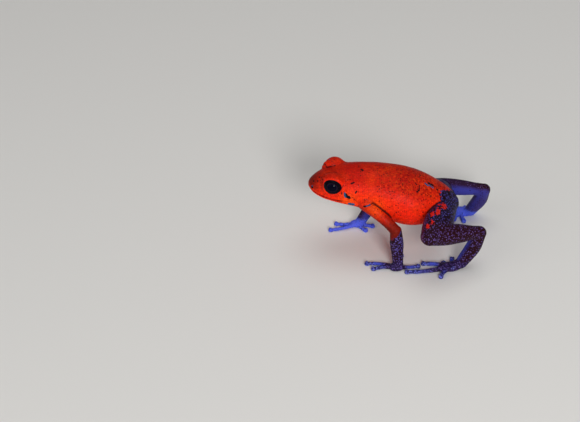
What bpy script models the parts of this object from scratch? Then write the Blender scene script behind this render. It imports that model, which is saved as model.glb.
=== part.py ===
"""Strawberry poison dart frog standing on all fours: a still, life-size model of 18 named pieces.

Metres, +Z up. The frog faces -Y, its left side is +X, and the origin is the middle of the bounding
box's underside, on the floor. Shapes are drawn in millimetres and brought to metres as each node is
finished. The body is one loft from snout to vent, drawn level and then pitched nose up.
"""

import math

import bmesh
import bpy
import numpy as np
from mathutils import Matrix, Vector

# Driving sizes, in millimetres
MM = 0.001
UP = Vector((0, 0, 1))
REARWARD = Vector((0, 1, 0))
FLOOR = Vector((0, 0, 0))
SNOUT_TIP = Vector((0.0, -13.05, 11.1))
PITCH = math.radians(10.6)
GAP = 0.3
NECK = 7.1
EYE_RADII = (1.25, 1.33, 1.02)
EYE_CENTRE = (2.62, 3.5, 1.62)
EYE_TILT = Matrix.Rotation(-PITCH - math.radians(4.0), 4, "X")
SOCKET_GAP = 0.26
BODY_RINGS = 46
BODY_SIDES = 24
BODY_SAMPLES = 400
LIMB_SIDES = 12
DIGIT_SIDES = 7
ROUND_END = (25, 55)
SHARP_FOLD = math.radians(50)
SAME_POINT = 1e-4

# Body sections from snout to vent: distance back, half width, top, bottom, height of the widest
# line, and how square the section is (2 is an ellipse). Heights are from the snout-vent line.
BODY = [
    (0.00, 0.05, 0.12, 0.02, 0.06, 2.0),
    (0.18, 0.85, 0.44, -0.42, 0.00, 2.0),
    (0.70, 1.62, 1.12, -0.82, -0.10, 2.1),
    (1.40, 2.20, 1.80, -1.08, -0.20, 2.2),
    (2.30, 2.74, 2.38, -1.14, -0.26, 2.3),
    (3.50, 3.18, 2.76, -1.14, -0.24, 2.3),
    (4.70, 3.50, 3.40, -1.16, -0.20, 2.3),
    (5.90, 3.72, 3.80, -1.24, -0.12, 2.2),
    (7.40, 3.86, 4.15, -1.50, 0.00, 2.1),
    (9.20, 4.08, 4.38, -2.02, 0.10, 2.1),
    (11.2, 4.42, 4.42, -2.75, 0.10, 2.1),
    (13.4, 4.72, 4.32, -3.30, 0.00, 2.1),
    (15.2, 4.74, 4.04, -3.45, -0.05, 2.1),
    (16.8, 4.40, 3.64, -3.22, -0.05, 2.1),
    (18.4, 3.70, 3.12, -2.75, 0.00, 2.1),
    (20.0, 2.85, 2.44, -2.10, 0.05, 2.1),
    (21.2, 1.95, 1.72, -1.40, 0.10, 2.0),
    (22.0, 1.00, 0.98, -0.60, 0.15, 2.0),
    (22.3, 0.05, 0.25, 0.12, 0.17, 2.0),
]

# Lid bulges over each eye, as (across, back, height) and radii: a dome, and the skirt it rises from
LID_BULGE = [
    ((2.05, 3.50, 1.74), (1.55, 1.84, 1.54)),
    ((1.75, 4.6, 1.42), (1.9, 2.8, 1.64)),
]

# The hollow that opens the lids round each eye starts this far out and has these radii
LID_OPENING = (1.8, 1.66, 1.36)

# Nostril, ear drum and mouth line: places on the head as (back, height), and how deep each lies
NOSTRIL = (0.65, 0.15)
NOSTRIL_RADII = (0.2, 0.17, 0.13)
NOSTRIL_OUT = 0.02
EAR_DRUM = (5.75, 0.75)
EAR_DRUM_RADII = (0.24, 0.55, 0.5)
EAR_DRUM_IN = 0.14
LIP_HEIGHT = -0.36
LIP_RISE = 0.3
LIP_RISE_START = 3.8
LIP_RISE_LENGTH = 1.5
MOUTH_START = 0.3
MOUTH_CORNER = 5.3
MOUTH_DEPTH = 0.13
MOUTH_TIP = (0.25, 0.12)

# Joints of each limb, x to the frog's left, y back, z up
JOINTS = {
    "left": {
        "shoulder": (3.4, -4.7, 9.6),
        "elbow": (5.9, -0.3, 6.5),
        "wrist": (6.1, 0.0, 1.15),
        "palm": (6.35, -0.25, 0.42),
        "hip": (1.5, 7.3, 7.8),
        "knee": (9.6, 4.5, 8.1),
        "heel": (5.4, 11.75, 5.9),
        "ankle": (5.9, 9.2, 1.0),
        "sole": (6.2, 7.6, 0.42),
    },
    "right": {
        "shoulder": (-3.2, -4.9, 9.0),
        "elbow": (-6.5, -2.6, 5.2),
        "wrist": (-4.8, -5.7, 1.15),
        "palm": (-4.85, -6.1, 0.42),
        "hip": (-1.5, 7.4, 6.9),
        "knee": (-8.3, 4.7, 4.9),
        "heel": (-5.5, 12.8, 6.1),
        "ankle": (-7.7, 11.0, 0.95),
        "sole": (-8.1, 9.6, 0.42),
    },
}

# Where each finger and toe ends on the floor (x, y), from the innermost, and how far it bows (mm)
FINGERS = {
    "left": [((5.95, 2.9), 0.15), ((3.3, 0.5), -0.15), ((5.3, -4.5), 0.3), ((6.6, -3.55), 0.2)],
    "right": [((-4.4, -3.9), 0.1), ((-3.3, -4.9), 0.2), ((-3.35, -10.1), -0.3), ((-4.95, -9.3), -0.2)],
}
TOES = {
    "left": [
        ((4.1, 7.9), 0.0),
        ((5.1, 6.6), 0.1),
        ((5.3, 3.7), 0.2),
        ((7.35, 1.35), -0.35),
        ((8.45, 6.2), 0.2),
    ],
    "right": [
        ((-5.75, 9.95), 0.1),
        ((-6.2, 8.5), 0.1),
        ((-7.0, 5.7), -0.2),
        ((-8.9, 3.5), -0.3),
        ((-10.6, 7.2), -0.2),
    ],
}

# Limb thicknesses: share of the way along, radius across, radius in depth
THIGH = [(0.0, 1.3, 1.5), (0.25, 1.7, 1.8), (0.5, 2.05, 2.0), (0.75, 1.85, 1.75), (1.0, 1.35, 1.3)]
SHANK = [(0.0, 1.12, 1.28), (0.3, 1.22, 1.52), (0.6, 1.1, 1.34), (0.88, 0.9, 1.0), (1.0, 0.9, 0.95)]
TARSUS = [(0.0, 0.92, 0.96), (0.45, 1.0, 1.1), (1.0, 0.9, 0.8)]
UPPER_ARM = [(0.0, 1.05, 1.1), (0.35, 0.93, 0.94), (0.7, 0.79, 0.79), (1.0, 0.8, 0.8)]
FOREARM = [(0.0, 0.84, 0.84), (0.35, 0.95, 0.98), (0.75, 0.78, 0.82), (1.0, 0.74, 0.76)]
DIGIT = [(0.0, 0.5, 0.36), (0.3, 0.33, 0.3), (0.55, 0.28, 0.27), (0.8, 0.31, 0.29), (1.0, 0.29, 0.26)]
SHANK_LEAN = 0.67
SHANK_BOW = (0.0, 0.0, 0.14)
TARSUS_BOW = (0.0, 0.3, 0.0)
ARM_BOW = (0.0, 0.1, 0.1)

# The stubs that carry the wrist into the hand and the ankle into the foot
WRIST_STUB = [(0.0, 0.74, 0.76), (1.0, 0.72, 0.74)]
WRIST_ABOVE = 0.8
WRIST_BELOW = 0.5
WRIST_CUT = -0.05
ANKLE_STUB = [(0.0, 0.86, 0.68), (1.0, 0.8, 0.5)]
ANKLE_ABOVE = 0.6

# Hands and feet lie on the floor: digits start this far out from their root and end in round pads
DIGIT_START = 0.3
DIGIT_HEIGHT = 0.27
ROOT_HEIGHT = 0.42
PAD_RADII = (0.38, 0.44, 0.28)
PAD_SUNK = 0.8
PALM_RADII = (0.85, 1.15, 0.56)
SOLE_RADII = (0.95, 1.8, 0.6)

# Segments round and rings along the ellipsoids
EYE_MESH = (18, 12)
SOLE_MESH = (16, 8)
DRUM_MESH = (10, 6)
PAD_MESH = (9, 6)
NOSTRIL_MESH = (8, 6)
GROOVE_POINTS = 10
GROOVE_SIDES = 6
LONG_LIMB_RINGS = 10
ARM_RINGS = 9
TARSUS_RINGS = 9
DIGIT_RINGS = 7
STUB_RINGS = 4

SKIN_RED = ("skin_red", (0.80, 0.045, 0.008), 0.4)
SKIN_BLUE = ("skin_blue", (0.055, 0.045, 0.16), 0.45)
EYE_BLACK = ("eye_black", (0.006, 0.005, 0.006), 0.08)


def smooth_samples(stations, count):
    """Even samples of a smooth curve through the stations, which are rows of numbers."""
    rows = np.array(stations, float)
    steps = np.linalg.norm(np.diff(rows[:, :3], axis=0), axis=1)
    knots = np.concatenate([[0.0], np.cumsum(steps)])
    slopes = np.gradient(rows, knots, axis=0)
    at = np.linspace(0.0, knots[-1], count)
    low = np.clip(np.searchsorted(knots, at, side="right") - 1, 0, len(steps) - 1)
    span = steps[low][:, None]
    t = ((at - knots[low]) / steps[low])[:, None]
    start = rows[low] * (2 * t**3 - 3 * t**2 + 1) + slopes[low] * span * (t**3 - 2 * t**2 + t)
    end = rows[low + 1] * (3 * t**2 - 2 * t**3) + slopes[low + 1] * span * (t**3 - t**2)
    return start + end


def body_place(across, back, height):
    """A point of the level body, brought to its place on the standing frog."""
    return SNOUT_TIP + Vector(
        (
            across,
            back * math.cos(PITCH) + height * math.sin(PITCH),
            height * math.cos(PITCH) - back * math.sin(PITCH),
        )
    )


def section_point(section, angle):
    """Point of a body section at an angle from its left side, as (across, back, height)."""
    back, half_width, top, bottom, waist, square = section
    reach = top - waist if math.sin(angle) >= 0 else waist - bottom
    across = math.copysign(abs(math.cos(angle)) ** (2 / square), math.cos(angle))
    rise = math.copysign(abs(math.sin(angle)) ** (2 / square), math.sin(angle))
    return half_width * across, back, waist + reach * rise


def side_of_body(back, height):
    """How far the body reaches to its side, at a distance back and a height."""
    samples = smooth_samples(BODY, BODY_SAMPLES)
    _, half_width, top, bottom, waist, square = samples[np.argmin(abs(samples[:, 0] - back))]
    reach = top - waist if height >= waist else bottom - waist
    return half_width * max(0.0, 1 - abs((height - waist) / reach) ** square) ** (1 / square)


def loft(rings, first_tip=None, last_tip=None):
    """A closed bmesh through rings of points, each end drawn to a tip or closed by a flat face."""
    bm = bmesh.new()
    loops = [[bm.verts.new(p) for p in ring] for ring in rings]
    sides = len(loops[0])
    for near, far in zip(loops, loops[1:]):
        for i in range(sides):
            j = (i + 1) % sides
            bm.faces.new((near[i], near[j], far[j], far[i]))
    for loop, tip in ((loops[0], first_tip), (loops[-1], last_tip)):
        if tip is None:
            bm.faces.new(loop)
            continue
        point = bm.verts.new(tip)
        for i in range(sides):
            bm.faces.new((point, loop[i], loop[(i + 1) % sides]))
    bmesh.ops.recalc_face_normals(bm, faces=bm.faces)
    return bm


def body_loft(count):
    """The whole body from snout to vent, with no limbs or eyes."""
    sections = smooth_samples(BODY, count)
    angles = [2 * math.pi * i / BODY_SIDES for i in range(BODY_SIDES)]
    rings = [[body_place(*section_point(s, a)) for a in angles] for s in sections[1:-1]]
    tips = [body_place(0, s[0], s[4]) for s in (sections[0], sections[-1])]
    return loft(rings, tips[0], tips[1])


def limb_tube(start, end, profile, rings, sides=LIMB_SIDES, level=(0, 0, 1), bow=(0, 0, 0)):
    """A tapered round-ended tube between two joints. Radii in depth run along the level direction."""
    start = Vector(start)
    end = Vector(end)
    axis = (end - start).normalized()
    stations = []
    for share, across, depth in profile:
        centre = start.lerp(end, share) + Vector(bow) * math.sin(math.pi * share)
        stations.append((*centre, across, depth))
    samples = smooth_samples(stations, rings)
    up = (Vector(level) - axis * axis.dot(Vector(level))).normalized()
    side = up.cross(axis)
    loops = []

    def add_ring(centre, across, depth):
        turn = [2 * math.pi * i / sides for i in range(sides)]
        loops.append([centre + side * across * math.cos(a) + up * depth * math.sin(a) for a in turn])

    first, last = samples[0], samples[-1]
    for degrees in reversed(ROUND_END):
        lean = math.radians(degrees)
        out = axis * first[3] * math.sin(lean)
        add_ring(Vector(first[:3]) - out, first[3] * math.cos(lean), first[4] * math.cos(lean))
    for row in samples:
        add_ring(Vector(row[:3]), row[3], row[4])
    for degrees in ROUND_END:
        lean = math.radians(degrees)
        out = axis * last[3] * math.sin(lean)
        add_ring(Vector(last[:3]) + out, last[3] * math.cos(lean), last[4] * math.cos(lean))
    return loft(loops, Vector(first[:3]) - axis * first[3], Vector(last[:3]) + axis * last[3])


def ellipsoid(centre, radii, fineness, turn=Matrix.Identity(4)):
    """A closed ellipsoid, turned about its centre. Fineness is its segments round and rings along."""
    segments, rings = fineness
    bm = bmesh.new()
    bmesh.ops.create_uvsphere(bm, u_segments=segments, v_segments=rings, radius=1.0)
    size = Matrix.Diagonal((*radii, 1.0))
    bm.transform(Matrix.Translation(centre) @ turn @ size)
    return bm


def cut(bm, point, normal):
    """Takes away what lies beyond a plane, on the side that its normal points to, and closes it."""
    geometry = bm.verts[:] + bm.edges[:] + bm.faces[:]
    done = bmesh.ops.bisect_plane(
        bm, geom=geometry, dist=SAME_POINT / 10, plane_co=point, plane_no=normal, clear_outer=True
    )
    edges = [e for e in done["geom_cut"] if isinstance(e, bmesh.types.BMEdge)]
    if edges:
        bmesh.ops.edgeloop_fill(bm, edges=edges)
    bmesh.ops.recalc_face_normals(bm, faces=bm.faces)


def part_at(bm_before, bm_after, joint, toward, leaving):
    """Parts two limb lengths at their joint by a thin cut along the plane that halves the bend."""
    joint = Vector(joint)
    normal = (Vector(toward).normalized() + Vector(leaving).normalized()).normalized()
    cut(bm_before, joint - normal * GAP / 2, normal)
    cut(bm_after, joint + normal * GAP / 2, -normal)


def grown(bm, by):
    """A copy that stands out from the surface all over."""
    copy = bm.copy()
    copy.normal_update()
    for vertex in copy.verts:
        vertex.co += vertex.normal * by
    return copy


def keep_largest(bm):
    """Drops all but the largest closed surface."""
    bm.verts.ensure_lookup_table()
    left = set(bm.verts)
    islands = []
    while left:
        seed = left.pop()
        island = {seed}
        front = [seed]
        while front:
            for edge in front.pop().link_edges:
                for vertex in edge.verts:
                    if vertex not in island:
                        island.add(vertex)
                        front.append(vertex)
        left -= island
        islands.append(island)
    islands.sort(key=len)
    for island in islands[:-1]:
        bmesh.ops.delete(bm, geom=list(island), context="VERTS")


def helper_object(name, bm, collection):
    """A hidden helper for a Boolean, in its own collection."""
    mesh = bpy.data.meshes.new(name)
    bm.to_mesh(mesh)
    bm.free()
    obj = bpy.data.objects.new(name, mesh)
    obj.hide_render = True
    obj.display_type = "WIRE"
    collection.objects.link(obj)
    return obj


def boolean(bm, others, operation):
    """Joins closed pieces to a mesh, or takes them from it, in one Boolean on a collection."""
    cutters = bpy.data.collections.new("cutters")
    bpy.context.scene.collection.children.link(cutters)
    target = helper_object("target", bm, bpy.context.scene.collection)
    helpers = [helper_object(f"helper_{i}", other, cutters) for i, other in enumerate(others)]
    modifier = target.modifiers.new("boolean", "BOOLEAN")
    modifier.operation = operation
    modifier.operand_type = "COLLECTION"
    modifier.collection = cutters
    modifier.solver = "EXACT"
    bpy.context.view_layer.update()
    graph = bpy.context.evaluated_depsgraph_get()
    result = bmesh.new()
    result.from_mesh(target.evaluated_get(graph).to_mesh())
    for helper in [target, *helpers]:
        mesh = helper.data
        bpy.data.objects.remove(helper)
        bpy.data.meshes.remove(mesh)
    bpy.data.collections.remove(cutters)
    keep_largest(result)
    return result


def skin_material(finish):
    """One Principled material for each finish."""
    name, colour, roughness = finish
    material = bpy.data.materials.get(name)
    if material is None:
        material = bpy.data.materials.new(name)
        material.use_nodes = True
        shader = material.node_tree.nodes["Principled BSDF"]
        shader.inputs["Base Color"].default_value = (*colour, 1.0)
        shader.inputs["Roughness"].default_value = roughness
        shader.inputs["Metallic"].default_value = 0.0
        material.diffuse_color = (*colour, 1.0)
    return material


def add_node(frog, name, bm, finish):
    """Adds a finished piece to the frog as its own named object, in metres."""
    bmesh.ops.triangulate(bm, faces=bm.faces)
    bmesh.ops.remove_doubles(bm, verts=bm.verts, dist=SAME_POINT)
    bm.transform(Matrix.Scale(MM, 4))
    mesh = bpy.data.meshes.new(name)
    bm.to_mesh(mesh)
    bm.free()
    mesh.materials.append(skin_material(finish))
    mesh.shade_smooth()
    mesh.set_sharp_from_angle(angle=SHARP_FOLD)
    obj = bpy.data.objects.new(name, mesh)
    frog.objects.link(obj)
    return obj


def eye_place(sign):
    """Centre of an eyeball on the standing frog."""
    across, back, height = EYE_CENTRE
    return body_place(sign * across, back, height)


def make_eye(frog, name, sign):
    """One eyeball, longer than high, as the lids leave it bare."""
    add_node(frog, name, ellipsoid(eye_place(sign), EYE_RADII, EYE_MESH, EYE_TILT), EYE_BLACK)


def lip_height(back):
    """Height of the lip line: level along the snout, then rising a little to the mouth's corner."""
    return LIP_HEIGHT + LIP_RISE * min(1.0, max(0.0, (back - LIP_RISE_START) / LIP_RISE_LENGTH))


def mouth_groove(sign):
    """A bent rod let half way into the lip line, from the snout's tip to the corner of the mouth."""
    past_middle, tip_back = MOUTH_TIP
    path = [body_place(-sign * past_middle, tip_back, lip_height(0.0))]
    for back in np.linspace(MOUTH_START, MOUTH_CORNER, GROOVE_POINTS):
        height = lip_height(back)
        path.append(body_place(sign * side_of_body(back, height), back, height))
    turns = [2 * math.pi * k / GROOVE_SIDES for k in range(GROOVE_SIDES)]
    loops = []
    for i, point in enumerate(path):
        axis = (path[min(i + 1, len(path) - 1)] - path[max(i - 1, 0)]).normalized()
        side = axis.cross(Vector((0, 0, 1))).normalized() * MOUTH_DEPTH
        up = side.cross(axis)
        loops.append([point + side * math.cos(a) + up * math.sin(a) for a in turns])
    return loft(loops)


def make_head(frog, body):
    """Head with its lid bulges, eye sockets, nostrils, mouth line and ear drums."""
    neck = body_place(0, NECK - GAP / 2, 0)
    back_along = Vector((0, math.cos(PITCH), -math.sin(PITCH)))
    domes = []
    hollows = []
    socket = [radius + SOCKET_GAP for radius in EYE_RADII]
    for sign in (1, -1):
        for (across, back, height), radii in LID_BULGE:
            bulge = body_place(sign * across, back, height)
            domes.append(ellipsoid(bulge, radii, EYE_MESH, EYE_TILT))
        back, height = EAR_DRUM
        drum = body_place(sign * (side_of_body(back, height) - EAR_DRUM_IN), back, height)
        domes.append(ellipsoid(drum, EAR_DRUM_RADII, DRUM_MESH, EYE_TILT))
        hollows.append(ellipsoid(eye_place(sign), socket, EYE_MESH, EYE_TILT))
        across, back, height = EYE_CENTRE
        mouth_of_socket = body_place(sign * (across + socket[0]), back, height)
        hollows.append(ellipsoid(mouth_of_socket, LID_OPENING, EYE_MESH, EYE_TILT))
        back, height = NOSTRIL
        nostril = body_place(sign * (side_of_body(back, height) + NOSTRIL_OUT), back, height)
        hollows.append(ellipsoid(nostril, NOSTRIL_RADII, NOSTRIL_MESH))
        hollows.append(mouth_groove(sign))
    head = boolean(body.copy(), domes, "UNION")
    cut(head, neck, back_along)
    head = boolean(head, hollows, "DIFFERENCE")
    add_node(frog, "head", head, SKIN_RED)


def make_torso(frog, body):
    """Trunk from the neck to the vent."""
    torso = body.copy()
    neck = body_place(0, NECK + GAP / 2, 0)
    cut(torso, neck, Vector((0, -math.cos(PITCH), math.sin(PITCH))))
    add_node(frog, "torso", torso, SKIN_RED)


def digit_pieces(root, tips):
    """Fingers or toes of one hand or foot, each a tapered tube with a round pad at its end."""
    pieces = []
    for (x, y), bow in tips:
        base = Vector((root.x, root.y, ROOT_HEIGHT))
        end = Vector((x, y, DIGIT_HEIGHT))
        along = (end - base).normalized()
        side = along.cross(Vector((0, 0, 1))).normalized()
        start = base + along * DIGIT_START
        pieces.append(limb_tube(start, end, DIGIT, DIGIT_RINGS, DIGIT_SIDES, bow=side * bow))
        turn = Matrix.Rotation(math.atan2(-along.x, along.y), 4, "Z")
        pad = Vector((x, y, PAD_RADII[2] * PAD_SUNK))
        pieces.append(ellipsoid(pad, PAD_RADII, PAD_MESH, turn))
    return pieces


def make_arm(frog, side, body_grown):
    """Upper arm, forearm and hand of one side."""
    joint = {name: Vector(place) for name, place in JOINTS[side].items()}
    elbow = joint["elbow"]
    wrist = joint["wrist"]
    upper = limb_tube(joint["shoulder"], elbow, UPPER_ARM, ARM_RINGS, bow=ARM_BOW)
    fore = limb_tube(elbow, wrist, FOREARM, ARM_RINGS, level=REARWARD)
    part_at(upper, fore, elbow, elbow - joint["shoulder"], wrist - elbow)
    upper = boolean(upper, [body_grown.copy()], "DIFFERENCE")
    add_node(frog, f"upper_arm_{side}", upper, SKIN_RED)

    down = (wrist - elbow).normalized()
    stub_start = wrist - down * WRIST_ABOVE
    stub_end = wrist + down * WRIST_BELOW
    stub = limb_tube(stub_start, stub_end, WRIST_STUB, STUB_RINGS, level=REARWARD)
    wrist_cut = wrist + UP * WRIST_CUT
    cut(fore, wrist_cut + UP * GAP / 2, -UP)
    palm = ellipsoid(joint["palm"], PALM_RADII, SOLE_MESH)
    hand = boolean(palm, [stub, *digit_pieces(joint["palm"], FINGERS[side])], "UNION")
    cut(hand, wrist_cut - UP * GAP / 2, UP)
    cut(hand, FLOOR, -UP)
    add_node(frog, f"forearm_{side}", fore, SKIN_BLUE)
    add_node(frog, f"hand_{side}", hand, SKIN_BLUE)


def make_leg(frog, side, body_grown):
    """Thigh, shank, tarsus and foot of one side."""
    joint = {name: Vector(place) for name, place in JOINTS[side].items()}
    hip, knee, heel, ankle, sole = (joint[name] for name in ("hip", "knee", "heel", "ankle", "sole"))
    thigh = limb_tube(hip, knee, THIGH, LONG_LIMB_RINGS)
    inward = math.copysign(SHANK_LEAN, -knee.x)
    shank = limb_tube(knee, heel, SHANK, LONG_LIMB_RINGS, level=(inward, 0, 1), bow=SHANK_BOW)
    tarsus = limb_tube(heel, ankle, TARSUS, TARSUS_RINGS, level=REARWARD, bow=TARSUS_BOW)
    stub_start = ankle + (heel - ankle).normalized() * ANKLE_ABOVE
    stub = limb_tube(stub_start, sole, ANKLE_STUB, STUB_RINGS)
    turn = sole - ankle
    lean = Matrix.Rotation(math.atan2(-turn.x, turn.y), 4, "Z")
    foot = ellipsoid(sole, SOLE_RADII, SOLE_MESH, lean)
    foot = boolean(foot, [stub, *digit_pieces(sole, TOES[side])], "UNION")
    part_at(thigh, shank, knee, knee - hip, heel - knee)
    part_at(shank, tarsus, heel, heel - knee, ankle - heel)
    part_at(tarsus, foot, ankle, ankle - heel, turn)
    cut(foot, FLOOR, -UP)
    thigh = boolean(thigh, [body_grown.copy()], "DIFFERENCE")
    add_node(frog, f"thigh_{side}", thigh, SKIN_BLUE)
    add_node(frog, f"shank_{side}", shank, SKIN_BLUE)
    add_node(frog, f"tarsus_{side}", tarsus, SKIN_BLUE)
    add_node(frog, f"foot_{side}", foot, SKIN_BLUE)


def centre_on_floor(frog):
    """Moves the frog so that the origin is the middle of its bounding box's underside."""
    corners = np.array([v.co for obj in frog.objects for v in obj.data.vertices])
    low, high = corners.min(axis=0), corners.max(axis=0)
    shift = Vector((-(low[0] + high[0]) / 2, -(low[1] + high[1]) / 2, -low[2]))
    for obj in frog.objects:
        obj.data.transform(Matrix.Translation(shift))


def main():
    for obj in list(bpy.data.objects):
        bpy.data.objects.remove(obj)
    frog = bpy.data.collections.new("poison_dart_frog")
    bpy.context.scene.collection.children.link(frog)
    body = body_loft(BODY_RINGS)
    body_grown = grown(body, GAP)
    make_head(frog, body)
    make_torso(frog, body)
    make_eye(frog, "eye_left", 1)
    make_eye(frog, "eye_right", -1)
    for side in ("left", "right"):
        make_arm(frog, side, body_grown)
        make_leg(frog, side, body_grown)
    centre_on_floor(frog)


main()
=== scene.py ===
"""Strawberry poison dart frog on a pale studio floor: the looks, built round the fixed frame.

One continuous skin stands for every node of flesh, and two wet eyes are set in it. Shapes are made in
millimetres in the frog's own place, facing -Y with its left side at +X, and are brought to the frame's
metres as each piece is finished.
"""

import math

import bmesh
import bpy
import numpy as np
from mathutils import Matrix, Vector, noise


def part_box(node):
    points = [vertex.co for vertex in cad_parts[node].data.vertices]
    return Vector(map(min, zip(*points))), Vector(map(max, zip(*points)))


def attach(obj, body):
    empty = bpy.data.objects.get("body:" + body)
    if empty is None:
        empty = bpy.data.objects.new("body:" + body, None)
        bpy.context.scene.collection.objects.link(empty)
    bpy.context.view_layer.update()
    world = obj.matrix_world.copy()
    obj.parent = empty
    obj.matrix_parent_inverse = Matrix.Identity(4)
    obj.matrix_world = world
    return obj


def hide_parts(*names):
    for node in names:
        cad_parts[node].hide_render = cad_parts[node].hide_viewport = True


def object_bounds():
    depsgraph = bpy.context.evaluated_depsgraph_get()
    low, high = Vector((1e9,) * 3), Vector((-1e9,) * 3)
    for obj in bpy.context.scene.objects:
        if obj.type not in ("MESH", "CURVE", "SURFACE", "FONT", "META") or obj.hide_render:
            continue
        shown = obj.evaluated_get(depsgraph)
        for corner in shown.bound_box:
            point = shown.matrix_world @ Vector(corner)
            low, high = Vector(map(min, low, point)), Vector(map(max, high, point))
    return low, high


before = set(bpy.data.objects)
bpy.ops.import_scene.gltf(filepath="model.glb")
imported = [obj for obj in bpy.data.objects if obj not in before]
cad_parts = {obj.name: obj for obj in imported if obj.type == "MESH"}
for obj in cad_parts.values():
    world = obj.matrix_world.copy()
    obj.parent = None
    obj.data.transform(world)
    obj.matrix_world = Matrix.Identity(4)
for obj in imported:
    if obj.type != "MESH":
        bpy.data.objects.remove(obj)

cad_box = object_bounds()

MM = 0.001
SNOUT_TIP = Vector((0.0, -13.05, 11.1))
PITCH = math.radians(10.6)

# Body sections from snout to vent: distance back, half width, top, bottom, height of the widest
# line, and how square the section is (2 is an ellipse). Heights are from the snout-vent line.
BODY = [
    (0.00, 0.05, 0.12, 0.02, 0.06, 2.0),
    (0.18, 0.85, 0.44, -0.42, 0.00, 2.0),
    (0.70, 1.62, 1.12, -0.82, -0.10, 2.1),
    (1.40, 2.20, 1.80, -1.08, -0.20, 2.2),
    (2.30, 2.74, 2.38, -1.14, -0.26, 2.3),
    (3.50, 3.18, 2.76, -1.14, -0.24, 2.3),
    (4.70, 3.50, 3.40, -1.16, -0.20, 2.3),
    (5.90, 3.72, 3.80, -1.24, -0.12, 2.2),
    (7.40, 3.86, 4.15, -1.50, 0.00, 2.1),
    (9.20, 4.08, 4.38, -2.02, 0.10, 2.1),
    (11.2, 4.42, 4.42, -2.75, 0.10, 2.1),
    (13.4, 4.72, 4.32, -3.30, 0.00, 2.1),
    (15.2, 4.74, 4.04, -3.45, -0.05, 2.1),
    (16.8, 4.40, 3.64, -3.22, -0.05, 2.1),
    (18.4, 3.70, 3.12, -2.75, 0.00, 2.1),
    (20.0, 2.85, 2.44, -2.10, 0.05, 2.1),
    (21.2, 1.95, 1.72, -1.40, 0.10, 2.0),
    (22.0, 1.00, 0.98, -0.60, 0.15, 2.0),
    (22.3, 0.05, 0.25, 0.12, 0.17, 2.0),
]
BODY_RINGS = 200
BODY_SIDES = 110

# Eyes: the CAD eye's centre and reach, and the round ball that fills the same place under the lids
EYE_CENTRE = (2.62, 3.5, 1.62)
EYE_REACH = 1.25
BALL_RADIUS = 1.46
EYE_UP = math.radians(18)
EYE_FORWARD = math.radians(6)
EYE_SLOPE = math.radians(14.6)
EYE_TILT = Matrix.Rotation(-EYE_SLOPE, 4, "X")
OPENING = (1.44, 1.12, 1.08)
PUPIL_RADII = (0.8, 0.62)
LID_THICKNESS = 0.11
LID_BULGE = [
    ((2.05, 3.50, 1.74), (1.55, 1.84, 1.54)),
    ((1.75, 4.6, 1.42), (1.9, 2.8, 1.64)),
]

# Nostril and ear drum, as back and height on the side of the head
NOSTRIL = (0.65, 0.15)
EAR_DRUM = (5.75, 0.75)

LIP_HEIGHT = -0.36
LIP_RISE = 0.3
LIP_RISE_START = 3.8
LIP_RISE_LENGTH = 1.5
MOUTH_CORNER = 5.3
HEAD_END = 7.3
HEAD_FLOOR = 7.0

# Small forms of the face and arms: how high each rises (below 0 it sinks in), how far off it lies, and
# how wide it is
LID_RIM = (0.06, 0.08, 0.07)
LOWER_FOLD = (0.2, 0.32, 0.1)
FRONT_FOLD = (0.13, 0.4, 0.12)
BROW_FOLD = (0.05, 0.45, 0.12)
LIPS = [(-0.2, 0.0, 0.1), (0.045, 0.2, 0.12), (0.03, -0.2, 0.1)]
NOSTRIL_FORMS = [(-0.28, 0.0, 0.12), (0.06, 0.25, 0.08)]
DRUM_FORMS = [(0.06, 0.52, 0.1), (-0.07, 0.0, 0.34)]
ARM_FOLD = (-0.14, 0.0, 0.16)
OPENING_DEPTH = 0.17
LID_REACH = 1.2

# Granules, as size and height
COARSE_GRANULES = (0.55, 0.022)
FINE_GRANULES = (0.32, 0.012)

SIDES = (("left", 1), ("right", -1))

# Joints of each limb, x to the frog's left, y back, z up
JOINTS = {
    "left": {
        "shoulder": (3.4, -4.7, 9.6),
        "elbow": (5.9, -0.3, 6.5),
        "wrist": (6.1, 0.0, 1.15),
        "palm": (6.35, -0.25, 0.42),
        "hip": (1.5, 7.3, 7.8),
        "knee": (9.6, 4.5, 8.1),
        "heel": (5.4, 11.75, 5.9),
        "ankle": (5.9, 9.2, 1.0),
        "sole": (6.2, 7.6, 0.42),
    },
    "right": {
        "shoulder": (-3.2, -4.9, 9.0),
        "elbow": (-6.5, -2.6, 5.2),
        "wrist": (-4.8, -5.7, 1.15),
        "palm": (-4.85, -6.1, 0.42),
        "hip": (-1.5, 7.4, 6.9),
        "knee": (-8.3, 4.7, 4.9),
        "heel": (-5.5, 12.8, 6.1),
        "ankle": (-7.7, 11.0, 0.95),
        "sole": (-8.1, 9.6, 0.42),
    },
}

# Where each finger and toe ends on the floor (x, y), from the innermost, and how far it bows
FINGERS = {
    "left": [((5.95, 2.9), 0.15), ((3.3, 0.5), -0.15), ((5.3, -4.5), 0.3), ((6.6, -3.55), 0.2)],
    "right": [((-4.4, -3.9), 0.1), ((-3.3, -4.9), 0.2), ((-3.35, -10.1), -0.3), ((-4.95, -9.3), -0.2)],
}
TOES = {
    "left": [
        ((4.1, 7.9), 0.0),
        ((5.1, 6.6), 0.1),
        ((5.3, 3.7), 0.2),
        ((7.35, 1.35), -0.35),
        ((8.45, 6.2), 0.2),
    ],
    "right": [
        ((-5.75, 9.95), 0.1),
        ((-6.2, 8.5), 0.1),
        ((-7.0, 5.7), -0.2),
        ((-8.9, 3.5), -0.3),
        ((-10.6, 7.2), -0.2),
    ],
}

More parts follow.
